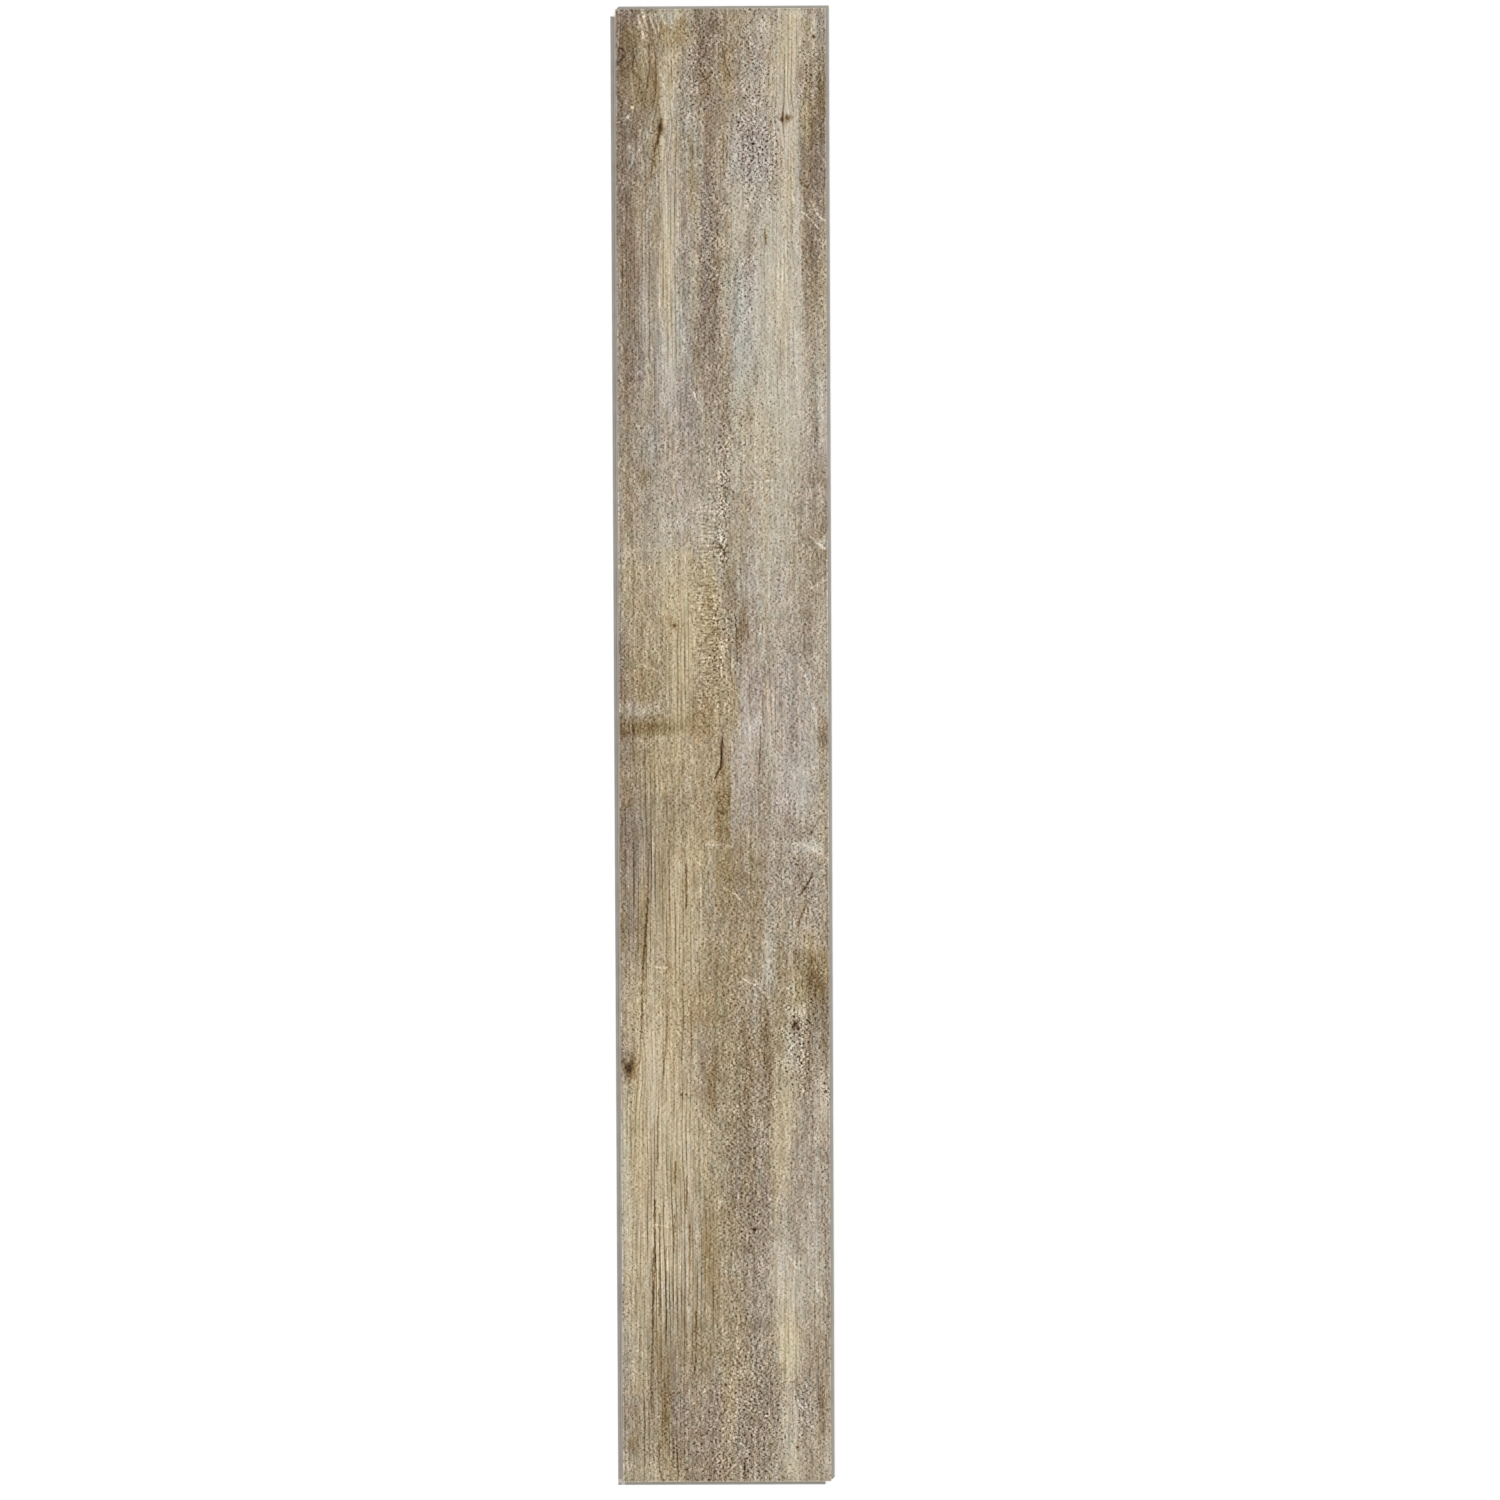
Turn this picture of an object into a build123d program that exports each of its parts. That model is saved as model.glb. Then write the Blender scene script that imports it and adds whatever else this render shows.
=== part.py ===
from build123d import *

import os

# A click-lock plank with a wood-look face, for walls and floors. It lies on its back:
# +X is its right side, +Y its top end, +Z out of the face. The origin is on the back,
# under the middle of the face. Millimetres.

# The face and the layers
FACE_WIDTH = 176.0
FACE_LENGTH = 1239.0
PLANK_THICKNESS = 5.0
DECOR_THICKNESS = 0.5
EDGE_BEVEL = 0.35
CORE_THICKNESS = PLANK_THICKNESS - DECOR_THICKNESS

# How far the click profile comes out from the face's edge, or goes in behind it
SIDE_LIP_REACH = 4.3
END_LIP_REACH = 3.5
SIDE_TONGUE_REACH = 2.8
END_TONGUE_REACH = 2.5
SLOT_DEPTH = 3.45
SIDE_RECESS_DEPTH = 5.05
END_RECESS_DEPTH = 5.6

# Heights of the click profile above the back
LIP_FLOOR = 1.0
BEAD_TOP = 1.6
SLOT_ROOF = 2.8

# The locking slope stands outside the face's edge on a lip, and the ramp under the
# tongue starts inside the mating face's edge.
LOCK_START = 1.5
LOCK_SLOPE = 1.35
RAMP_START = 0.9
RAMP_SLOPE = 0.42

# Room between two planks that are clicked together
FIT_GAP = 0.05
BEAD_CLEARANCE = 0.15

# Roundings of the milled corners
NOSE_RADIUS = 0.25
BEAD_RADIUS = 0.45
LOCK_RADIUS = 0.15
RAMP_RADIUS = 1.5
SLOT_RADIUS = 0.3
MOUTH_RADIUS = 0.2
TIP_RADIUS = 0.4
RECESS_RADIUS = 0.5


def slot_side(lip_reach):
    """Corners (out, up, rounding) from the back of the lip, round the slot, to the core's top."""
    lock_end = LOCK_START + (BEAD_TOP - LIP_FLOOR) / LOCK_SLOPE
    slot_end_floor = LIP_FLOOR + (SLOT_DEPTH - RAMP_START) * RAMP_SLOPE
    return [
        (lip_reach, 0, NOSE_RADIUS),
        (lip_reach, BEAD_TOP, BEAD_RADIUS),
        (lock_end, BEAD_TOP, LOCK_RADIUS),
        (LOCK_START, LIP_FLOOR, LOCK_RADIUS),
        (-RAMP_START, LIP_FLOOR, RAMP_RADIUS),
        (-SLOT_DEPTH, slot_end_floor, SLOT_RADIUS),
        (-SLOT_DEPTH, SLOT_ROOF, SLOT_RADIUS),
        (0, SLOT_ROOF, MOUTH_RADIUS),
        (0, CORE_THICKNESS, 0),
    ]


def tongue_side(tongue_reach, recess_depth):
    """Corners (out, up, rounding) from the back, round the recess and the tongue, to the core's top."""
    heel = LIP_FLOOR + FIT_GAP
    recess_roof = BEAD_TOP + BEAD_CLEARANCE
    lock_end = LOCK_START + (recess_roof - heel) / LOCK_SLOPE
    tip_low = heel + (tongue_reach - RAMP_START) * RAMP_SLOPE
    tongue_top = SLOT_ROOF - FIT_GAP
    return [
        (-recess_depth, 0, 0),
        (-recess_depth, recess_roof, RECESS_RADIUS),
        (-lock_end, recess_roof, LOCK_RADIUS),
        (-LOCK_START, heel, LOCK_RADIUS),
        (RAMP_START, heel, RAMP_RADIUS),
        (tongue_reach, tip_low, TIP_RADIUS),
        (tongue_reach, tongue_top, TIP_RADIUS),
        (0, tongue_top, 0),
        (0, CORE_THICKNESS, 0),
    ]


def board_section(span, slot_corners, tongue_corners):
    """The board's section between a slot at -span / 2 and a tongue at +span / 2."""
    slot_outline = [(-span / 2 - out, up, rounding) for out, up, rounding in slot_corners]
    tongue_outline = [(span / 2 + out, up, rounding) for out, up, rounding in tongue_corners]
    corners = slot_outline + tongue_outline[::-1]
    section = make_face(Polyline([(x, y) for x, y, _ in corners], close=True)).face()
    for x, y, rounding in corners:
        if rounding:
            corner = section.vertices().sort_by_distance((x, y, 0))[0]
            section = section.fillet_2d(rounding, [corner])
    return section


def core_board():
    """The board as it is milled: its sides along the length, then its ends across them."""
    across = board_section(
        FACE_WIDTH, slot_side(SIDE_LIP_REACH), tongue_side(SIDE_TONGUE_REACH, SIDE_RECESS_DEPTH)
    )
    along = board_section(
        FACE_LENGTH, slot_side(END_LIP_REACH), tongue_side(END_TONGUE_REACH, END_RECESS_DEPTH)
    )
    # Each section runs on both ways past the other's edges, so that the two cut each other.
    with_sides = extrude(Plane.XZ * across, FACE_LENGTH, both=True)
    with_ends = extrude(Plane.YZ * along, FACE_WIDTH, both=True)
    milled = with_sides & with_ends
    # The crossing cuts leave offcuts at the corners, which fall off.
    return milled.solids().sort_by(SortBy.VOLUME)[-1]


def decor_face():
    """The bonded face layer, with its bevel along all four edges."""
    layer = Pos(0, 0, CORE_THICKNESS) * Box(
        FACE_WIDTH, FACE_LENGTH, DECOR_THICKNESS, align=(Align.CENTER, Align.CENTER, Align.MIN)
    )
    top_edges = layer.faces().sort_by(Axis.Z)[-1].edges()
    return chamfer(top_edges, EDGE_BEVEL)


os.makedirs("parts", exist_ok=True)
export_step(core_board(), "parts/core_board.step")
export_step(decor_face(), "parts/decor_face.step")
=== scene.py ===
import math

import bpy
import numpy as np
from mathutils import Matrix, Vector


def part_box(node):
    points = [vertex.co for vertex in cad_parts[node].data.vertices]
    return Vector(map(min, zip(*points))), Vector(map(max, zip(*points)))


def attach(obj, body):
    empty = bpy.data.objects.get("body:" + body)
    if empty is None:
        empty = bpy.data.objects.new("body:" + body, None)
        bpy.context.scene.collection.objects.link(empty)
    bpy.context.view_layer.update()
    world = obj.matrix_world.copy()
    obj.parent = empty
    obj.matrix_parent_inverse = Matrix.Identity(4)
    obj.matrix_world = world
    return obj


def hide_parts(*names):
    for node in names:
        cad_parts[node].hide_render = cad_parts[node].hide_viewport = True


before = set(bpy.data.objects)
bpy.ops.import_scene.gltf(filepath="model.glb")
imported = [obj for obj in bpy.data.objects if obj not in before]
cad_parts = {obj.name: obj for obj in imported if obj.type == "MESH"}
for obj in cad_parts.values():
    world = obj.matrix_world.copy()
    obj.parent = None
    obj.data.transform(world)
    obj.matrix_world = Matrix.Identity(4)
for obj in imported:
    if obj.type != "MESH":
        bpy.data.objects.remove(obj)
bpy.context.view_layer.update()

# A click-lock plank with a weathered wood print, lying on its back. Places on the face are in
# millimetres from its top left corner as the camera sees it: x across, y down the length.

# Metres in a millimetre, and the seed to which each noise on the mesh adds a number of its own
MM = 0.001
SEED = 7

face_low, face_high = (Vector(corner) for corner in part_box("decor_face"))
FACE_W = (face_high.x - face_low.x) / MM
FACE_L = (face_high.y - face_low.y) / MM
FACE_TOP = face_high.z / MM
FACE_BOTTOM = face_low.z / MM

# The face mesh: grain runs down the length, so its columns are closer than its rows. Pits add
# to the furrows' depth, and only full-strength cracks are as deep as this.
EDGE_BEVEL = 0.35
COLUMN_STEP = 1.05
ROW_STEP = 2.35
FURROW_DEPTH = 0.05
CRACK_DEPTH = 0.16

# The print's middle tone, as seen on a screen, from 0 to 1, and how yellow it is
MEAN_LIGHT = 0.585
MEAN_WARM = 0.45

# How each stain moves the lightness, in 255ths, the yellow and the green
STAINS = {
    "pale": (27, -0.18, 0.1),
    "cream": (24, 0.10, 0.0),
    "sand": (12, 0.32, 0.0),
    "gold": (0, 0.65, 0.0),
    "rust": (-20, 0.65, -0.5),
    "olive": (-24, 0.38, 0.2),
    "brown": (-19, 0.02, -0.15),
    "umber": (-30, -0.08, -0.2),
    "dark": (-46, 0.10, -0.2),
    "lilac": (4, -0.30, -0.35),
    "grey": (-9, -0.35, 0.0),
    "sage": (5, -0.38, 1.0),
}

# Stains on the face, by kind: x, y, half width, half length, strength
PATCHES = {
    "pale": [
        (50, 3, 12, 5, 0.6), (99, 8, 6, 18, 0.4), (169, 22, 5, 18, 0.45), (118, 30, 14, 24, 0.25),
        (1, 40, 5, 22, 0.35), (122, 70, 14, 20, 0.4), (142, 80, 7, 36, 0.25), (11, 88, 5, 7, 0.3),
        (14, 122, 3, 12, 0.5), (33, 124, 4, 12, 0.5), (99, 124, 2.5, 26, 0.6), (173, 125, 4, 25, 0.4),
        (152, 130, 3, 100, 0.8), (92, 136, 6, 30, 0.25), (3, 175, 4, 25, 0.3), (124, 176, 10, 18, 0.6),
        (3, 225, 4, 25, 0.4), (164, 227, 6, 27, 0.36), (1, 232, 4, 36, 0.45), (113, 250, 8, 38, 0.55),
        (133, 250, 17, 96, 1.15), (25, 262, 10, 30, 0.35), (150, 290, 8, 80, 0.5),
        (104, 300, 12, 40, 0.4), (41, 305, 9, 42, 0.6), (174, 310, 4, 18, 0.5), (158, 330, 6, 44, 0.5),
        (71, 342, 3, 26, 0.6), (107, 342, 8, 30, 0.4), (172, 342, 4, 26, 0.95), (1, 350, 4, 18, 0.36),
        (0, 354, 4, 12, 0.45), (82, 356, 6, 20, 0.4), (106, 383, 7, 15, 0.33), (99, 400, 7, 30, 0.45),
        (173, 412, 4, 14, 0.4), (60, 428, 22, 26, 0.3), (171, 447, 5, 3.5, 1.2), (39, 455, 8, 34, 0.5),
        (3, 460, 6, 36, 0.6), (173, 475, 4, 25, 0.3), (119, 478, 7, 30, 0.45), (151, 488, 5, 26, 0.5),
        (107, 492, 6, 34, 0.5), (175, 520, 4, 30, 0.5), (156, 585, 6, 22, 0.5), (16, 586, 11, 5, 0.6),
        (173, 588, 5, 16, 0.4), (138, 599, 6, 20, 0.25), (112, 612, 8, 22, 0.5),
        (152, 650, 13, 36, 0.9), (156, 703, 13, 6, 1.2), (77, 716, 5, 16, 0.5), (129, 750, 4, 30, 0.3),
        (152, 770, 6, 30, 0.5), (125, 795, 4, 26, 0.95), (162, 805, 8, 13, 0.36), (150, 842, 8, 8, 0.5),
        (137, 871, 5, 30, 0.3), (148, 884, 6, 24, 0.25), (171, 905, 5, 16, 0.7), (2, 958, 4, 56, 0.6),
        (134, 960, 8, 60, 0.6), (30, 1035, 8, 25, 0.33), (1, 1040, 4, 24, 0.3),
        (150, 1040, 24, 40, 0.5), (148, 1085, 7, 20, 0.35), (38, 1109, 6, 20, 0.45),
        (1, 1148, 4, 14, 0.4), (50, 1180, 7, 14, 0.45), (141, 1180, 7, 40, 0.25),
        (173, 1220, 4, 20, 0.25), (173, 1222, 5, 18, 0.55),
    ],
    "cream": [
        (151, 4, 8, 16, 0.5), (46, 6, 9, 6, 0.6), (0, 10, 4, 14, 0.5), (1, 38, 4, 20, 0.5),
        (142, 45, 10, 60, 0.9), (43, 80, 6, 52, 0.7), (142, 130, 9, 40, 0.7), (108, 165, 9, 26, 0.95),
        (97, 178, 9, 26, 0.6), (50, 188, 4, 16, 0.6), (66, 190, 4, 44, 0.5), (44, 205, 8, 66, 0.85),
        (134, 219, 12, 30, 0.32), (97, 222, 7, 30, 0.5), (70, 236, 5, 26, 0.5), (164, 243, 5, 34, 0.45),
        (173, 245, 4, 50, 0.8), (50, 290, 6, 32, 0.7), (157, 293, 6, 22, 0.45),
        (130, 385, 22, 70, 0.75), (97, 449, 7, 17, 0.42), (20, 455, 8, 42, 0.6),
        (130, 470, 12, 50, 0.6), (54, 480, 5, 30, 0.5), (78, 481, 6, 16, 0.65), (118, 532, 7, 14, 0.5),
        (25, 540, 5, 34, 0.5), (40, 604, 6, 14, 0.5), (167, 607, 6, 14, 0.5), (97, 636, 6, 42, 0.5),
        (134, 636, 14, 20, 0.15), (19, 749, 4, 16, 0.5), (129, 783, 6, 27, 0.42),
        (105, 785, 10, 26, 0.42), (69, 792, 5, 20, 0.5), (36, 825, 14, 60, 0.4), (20, 873, 6, 15, 0.5),
        (36, 900, 22, 70, 0.75), (145, 922, 6, 26, 0.3), (169, 930, 6, 18, 0.85),
        (8, 1000, 12, 60, 0.3), (31, 1035, 3, 34, 0.5), (41, 1036, 8, 38, 0.6), (8, 1045, 7, 24, 0.4),
        (59, 1052, 5, 16, 0.6), (130, 1060, 6, 26, 0.6), (125, 1066, 6, 16, 0.5),
        (111, 1071, 6, 21, 0.42), (51, 1072, 5, 20, 0.45), (27, 1080, 7, 28, 0.38),
        (91, 1095, 8, 46, 0.55), (142, 1105, 10, 52, 0.9), (10, 1125, 12, 28, 0.6),
        (148, 1130, 5, 16, 0.5), (106, 1164, 7, 24, 0.45), (127, 1195, 7, 26, 0.45),
        (142, 1200, 7, 44, 0.5), (148, 1226, 10, 16, 0.6), (5, 1230, 7, 12, 0.6),
        (24, 1232, 8, 10, 0.7), (48, 1234, 9, 9, 0.4),
    ],
    "sand": [
        (163, 20, 12, 24, 0.2), (14, 22, 7, 10, 0.8), (44, 50, 8, 30, 0.4), (161, 94, 8, 16, 0.9),
        (88, 122, 4, 28, 0.6), (27, 152, 6, 28, 0.5), (138, 210, 6, 40, 0.2), (44, 310, 7, 44, 0.7),
        (76, 430, 6, 20, 0.4), (56, 500, 26, 46, 0.85), (52, 576, 9, 40, 0.9), (125, 582, 6, 22, 0.7),
        (50, 636, 20, 22, 0.4), (85, 638, 4, 14, 0.7), (4, 652, 6, 12, 0.8), (58, 740, 17, 46, 1.1),
        (153, 757, 5, 20, 0.7), (159, 795, 6, 20, 0.9), (53, 808, 10, 36, 0.55), (152, 830, 5, 14, 0.7),
        (8, 835, 8, 20, 0.3), (13, 836, 14, 34, 0.35), (55, 929, 6, 14, 0.8), (10, 950, 14, 60, 1.0),
        (68, 955, 7, 32, 0.6), (136, 960, 7, 50, 0.3), (107, 982, 6, 18, 0.7), (40, 985, 24, 36, 0.55),
        (31, 1036, 10, 30, 0.8), (42, 1050, 20, 40, 0.2), (10, 1060, 12, 50, 0.8),
        (8, 1155, 10, 12, 0.5), (90, 1172, 7, 30, 0.7), (41, 1228, 9, 14, 0.9),
    ],
    "gold": [
        (48, 20, 15, 10, 0.6), (140, 40, 9, 50, 0.2), (93, 60, 4, 24, 0.6), (56, 113, 10, 12, 0.25),
        (43, 220, 3, 50, 0.3), (137, 268, 10, 44, 0.25), (54, 500, 24, 46, 0.2), (80, 565, 12, 36, 0.4),
        (44, 570, 18, 46, 0.25), (96, 583, 6, 30, 0.5), (138, 599, 6, 20, 0.3), (34, 632, 24, 24, 0.6),
        (134, 636, 14, 20, 0.4), (73, 645, 8, 30, 0.2), (58, 700, 26, 30, 0.35), (44, 800, 22, 60, 0.3),
        (100, 810, 9, 32, 0.35), (144, 830, 7, 26, 0.4), (73, 834, 10, 16, 0.5), (13, 836, 14, 34, 0.3),
        (40, 890, 26, 70, 0.3), (145, 922, 6, 26, 0.2), (14, 940, 2.5, 46, 0.5),
        (135, 945, 9, 70, 0.55), (80, 970, 16, 40, 0.2), (139, 1126, 8, 32, 0.4),
        (83, 1227, 7, 12, 0.2),
    ],
    "rust": [
        (75, 90, 4, 4, 0.3), (4, 215, 3, 30, 0.3), (84, 225, 6, 34, 0.3), (104, 518, 6, 20, 0.4),
        (78, 597, 7, 19, 0.2), (66, 600, 9, 14, 0.4), (6, 664, 5, 5, 0.3), (108, 695, 8, 19, 0.3),
        (121, 780, 6, 21, 0.2), (62, 838, 8, 22, 0.35), (12, 890, 4, 13, 0.5), (46, 975, 4, 14, 0.5),
        (95, 1022, 18, 20, 0.26), (73, 1052, 4, 34, 0.45),
    ],
    "olive": [
        (97, 20, 6, 24, 0.4), (108, 22, 9, 36, 0.7), (45, 44, 6, 18, 0.4), (27, 52, 8, 30, 0.6),
        (75, 62, 7, 12, 0.5), (33, 64, 3, 20, 0.9), (14, 66, 14, 18, 0.7), (172, 75, 4, 22, 0.5),
        (32, 120, 4, 20, 1.0), (63, 140, 4, 22, 0.6), (33, 185, 3, 18, 0.9), (125, 188, 2, 8, 1.2),
        (168, 232, 8, 30, 0.4), (137, 268, 10, 44, 0.4), (106, 338, 7, 20, 0.45), (22, 392, 5, 9, 0.6),
        (14, 430, 12, 14, 0.3), (5, 473, 6, 20, 0.5), (14, 504, 17, 46, 0.5), (78, 505, 6, 34, 0.8),
        (47, 515, 5, 5, 0.8), (16, 560, 20, 22, 0.85), (70, 588, 12, 24, 0.5), (34, 600, 24, 8, 1.1),
        (114, 634, 7, 20, 0.5), (73, 650, 8, 34, 0.45), (87, 655, 6, 28, 0.8), (122, 664, 7, 26, 0.5),
        (46, 674, 24, 24, 0.5), (34, 725, 5, 30, 0.6), (116, 728, 7, 28, 0.5), (90, 735, 10, 34, 0.8),
        (1, 768, 4, 26, 0.45), (20, 768, 4, 40, 1.0), (26, 768, 4, 16, 0.5), (34, 770, 8, 30, 0.3),
        (100, 790, 20, 70, 0.25), (76, 800, 10, 20, 0.5), (163, 810, 13, 22, 1.1),
        (88, 812, 8, 30, 0.45), (161, 840, 6, 20, 0.6), (121, 850, 6, 36, 0.7), (134, 850, 6, 30, 0.6),
        (80, 860, 9, 34, 0.5), (155, 888, 7, 18, 0.4), (98, 895, 14, 60, 0.55), (76, 905, 6, 24, 1.0),
        (116, 1024, 5, 32, 0.4), (76, 1045, 8, 52, 0.75), (29, 1060, 3, 50, 0.2),
        (60, 1070, 4, 40, 0.4), (94, 1110, 14, 50, 0.3), (32, 1125, 9, 28, 1.3),
        (58, 1125, 20, 28, 0.55), (36, 1182, 5, 32, 1.2), (26, 1185, 8, 40, 0.45), (8, 1206, 5, 6, 0.6),
    ],
    "brown": [
        (96, 8, 10, 10, 0.5), (29, 14, 10, 14, 0.9), (47, 18, 10, 12, 0.4), (54, 18, 6, 16, 0.5),
        (34, 28, 7, 16, 0.6), (89, 28, 6, 26, 0.9), (99, 48, 8, 28, 0.6), (174, 50, 5, 56, 0.95),
        (156, 58, 6, 20, 0.8), (125, 61, 7, 26, 0.45), (153, 66, 5, 16, 0.5), (168, 75, 9, 34, 0.9),
        (12, 92, 12, 12, 0.4), (77, 118, 5, 44, 1.0), (112, 120, 6, 32, 0.5), (3, 125, 4, 28, 0.55),
        (27, 125, 5, 12, 0.4), (134, 132, 6, 20, 0.5), (155, 138, 5, 30, 0.6), (6, 160, 8, 16, 0.8),
        (89, 169, 7, 20, 0.6), (117, 176, 6, 22, 0.6), (114, 184, 5, 22, 0.5), (14, 215, 4, 60, 0.5),
        (58, 234, 7, 28, 0.5), (30, 240, 8, 40, 0.4), (87, 240, 6, 28, 0.3), (10, 282, 12, 34, 0.9),
        (165, 285, 9, 30, 0.25), (92, 298, 7, 14, 0.7), (91, 300, 6, 14, 0.6), (5, 342, 6, 36, 1.1),
        (90, 350, 5, 28, 0.5), (164, 392, 12, 8, 1.0), (106, 410, 9, 18, 0.5), (12, 412, 14, 40, 0.55),
        (169, 420, 7, 28, 0.7), (167, 442, 5, 18, 0.6), (168, 456, 6, 24, 0.55), (172, 475, 6, 22, 0.7),
        (164, 476, 6, 18, 0.45), (95, 480, 6, 30, 0.4), (88, 500, 7, 40, 0.4), (158, 515, 7, 32, 0.75),
        (14, 581, 14, 16, 0.4), (78, 597, 7, 19, 0.3), (174, 608, 4, 22, 0.45), (149, 612, 6, 31, 0.45),
        (12, 622, 14, 14, 0.6), (147, 624, 6, 22, 0.65), (84, 625, 6, 22, 0.6), (54, 634, 7, 18, 0.6),
        (10, 644, 12, 14, 0.5), (168, 650, 6, 16, 0.4), (148, 680, 6, 24, 0.75),
        (157, 692, 8, 24, 0.42), (2, 706, 4, 17, 0.45), (128, 728, 6, 14, 0.5), (156, 732, 7, 14, 0.6),
        (60, 738, 7, 20, 0.6), (70, 742, 7, 29, 0.35), (9, 756, 12, 38, 1.1), (106, 764, 14, 56, 0.5),
        (152, 765, 6, 16, 0.4), (3, 775, 4, 25, 0.45), (121, 780, 6, 21, 0.35), (136, 800, 6, 24, 0.6),
        (37, 824, 7, 33, 0.5), (72, 836, 12, 24, 0.5), (118, 880, 14, 40, 0.7), (1, 890, 3, 14, 0.5),
        (122, 900, 6, 40, 0.5), (130, 915, 5, 12, 0.5), (161, 935, 7, 28, 0.5), (118, 942, 5, 21, 0.5),
        (15, 973, 5, 31, 0.45), (71, 996, 5, 17, 0.45), (108, 1010, 18, 60, 0.5),
        (175, 1016, 4, 45, 0.5), (149, 1026, 6, 24, 0.6), (104, 1100, 24, 48, 0.7),
        (17, 1108, 6, 27, 0.45), (168, 1130, 8, 34, 0.4), (77, 1132, 6, 14, 0.5),
        (10, 1137, 6, 14, 0.45), (3, 1175, 4, 25, 0.35), (12, 1192, 16, 26, 0.4),
        (96, 1193, 6, 31, 0.3), (64, 1195, 24, 44, 0.95), (46, 1212, 6, 24, 0.9),
        (66, 1216, 10, 18, 0.6), (81, 1222, 5, 16, 0.2), (160, 1225, 8, 14, 0.4),
        (88, 1226, 12, 16, 0.5), (16, 1228, 18, 16, 0.3),
    ],
    "umber": [
        (10, 2, 6, 6, 0.35), (39, 8, 5, 14, 0.4), (8, 14, 12, 16, 1.1), (79, 14, 8, 18, 0.5),
        (74, 34, 9, 36, 1.05), (1, 45, 4, 46, 0.35), (8, 58, 6, 22, 0.6), (24, 72, 6, 30, 0.3),
        (4, 82, 8, 22, 0.45), (23, 86, 6, 18, 0.4), (81, 88, 7, 20, 0.6), (56, 113, 10, 12, 0.3),
        (9, 118, 13, 32, 1.0), (166, 122, 11, 34, 1.0), (1, 138, 4, 12, 0.3), (172, 152, 5, 18, 0.6),
        (25, 153, 5, 18, 0.5), (77, 165, 7, 38, 0.35), (7, 205, 8, 52, 1.15), (164, 205, 7, 48, 1.05),
        (18, 218, 5, 22, 0.4), (33, 224, 5, 16, 0.35), (84, 228, 5, 16, 0.4), (77, 252, 8, 62, 1.0),
        (64, 283, 5, 16, 0.45), (84, 342, 11, 32, 0.6), (166, 354, 3.5, 14, 0.9), (91, 400, 3, 26, 0.5),
        (104, 520, 8, 26, 0.95), (82, 556, 7, 16, 0.35), (1, 616, 4, 12, 0.5), (11, 630, 8, 24, 0.5),
        (9, 685, 14, 38, 1.15), (47, 716, 5, 20, 0.4), (173, 833, 5, 16, 0.65), (147, 858, 4, 8, 0.4),
        (168, 858, 8, 24, 0.9), (2, 876, 5, 10, 0.5), (154, 878, 7, 30, 0.6), (71, 880, 6, 24, 0.55),
        (102, 970, 16, 42, 0.45), (122, 995, 7, 22, 0.45), (174, 1110, 4, 16, 0.35),
        (45, 1118, 4, 34, 0.45), (160, 1142, 5, 14, 0.3), (132, 1147, 7, 20, 0.5),
        (1, 1148, 4, 40, 0.45), (37, 1153, 7, 18, 0.35), (152, 1164, 8, 12, 0.4),
        (42, 1172, 12, 16, 0.5), (167, 1178, 4, 22, 0.9), (79, 1180, 7, 20, 0.5),
        (116, 1192, 16, 42, 0.9), (76, 1232, 7, 12, 0.45),
    ],
    "dark": [
        (9, 38, 9, 20, 1.05), (142, 91, 6, 3.5, 0.95), (37, 100, 4.5, 6, 0.9), (85, 451, 6, 4, 0.8),
        (8, 602, 10, 9, 0.75), (172, 608, 5, 12, 0.7), (86, 624, 1.1, 13, 0.5), (24, 716, 1.1, 30, 0.6),
        (154, 796, 7, 5, 0.4), (40, 804, 2.2, 7, 0.6), (163, 815, 7, 16, 0.7), (147, 853, 3.5, 5, 1.0),
        (5, 888, 6.5, 10, 1.35),
    ],
    "lilac": [
        (140, 3, 34, 5, 0.4), (114, 34, 14, 32, 0.8), (1, 45, 4, 46, 0.5), (0, 60, 4, 30, 0.6),
        (116, 120, 18, 34, 1.0), (92, 136, 6, 30, 0.4), (2, 150, 5, 40, 0.4), (108, 183, 7, 32, 0.6),
        (77, 262, 9, 60, 0.6), (56, 336, 12, 28, 0.4), (48, 400, 20, 40, 0.6), (140, 404, 26, 28, 0.4),
        (133, 470, 8, 40, 0.6), (128, 560, 30, 56, 0.6), (152, 590, 20, 60, 0.6),
        (152, 640, 16, 40, 0.3), (124, 655, 28, 44, 1.0), (8, 828, 8, 24, 0.4), (110, 832, 14, 22, 0.7),
        (160, 980, 16, 70, 0.5), (1, 1040, 4, 24, 0.3), (115, 1050, 12, 60, 0.5),
        (34, 1131, 11, 26, 0.5), (4, 1140, 7, 34, 0.4), (26, 1186, 8, 24, 0.4),
    ],
    "grey": [
        (10, 3, 10, 5, 0.5), (174, 8, 4, 12, 0.8), (59, 60, 9, 26, 0.5), (142, 80, 7, 36, 0.6),
        (116, 122, 16, 30, 0.5), (20, 130, 8, 20, 0.3), (77, 165, 7, 38, 0.5), (32, 168, 6, 42, 0.7),
        (59, 190, 7, 40, 0.7), (114, 225, 4, 20, 0.5), (87, 240, 6, 28, 0.4), (27, 262, 7, 48, 0.5),
        (14, 295, 11, 46, 0.6), (41, 305, 9, 42, 1.1), (56, 336, 12, 28, 0.9), (82, 356, 6, 20, 0.2),
        (18, 372, 14, 22, 0.3), (168, 372, 8, 10, 0.7), (71, 405, 7, 40, 0.45), (168, 408, 7, 14, 0.2),
        (17, 432, 8, 18, 0.5), (108, 462, 10, 26, 0.3), (133, 470, 8, 40, 0.25), (2, 518, 5, 58, 0.5),
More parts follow.
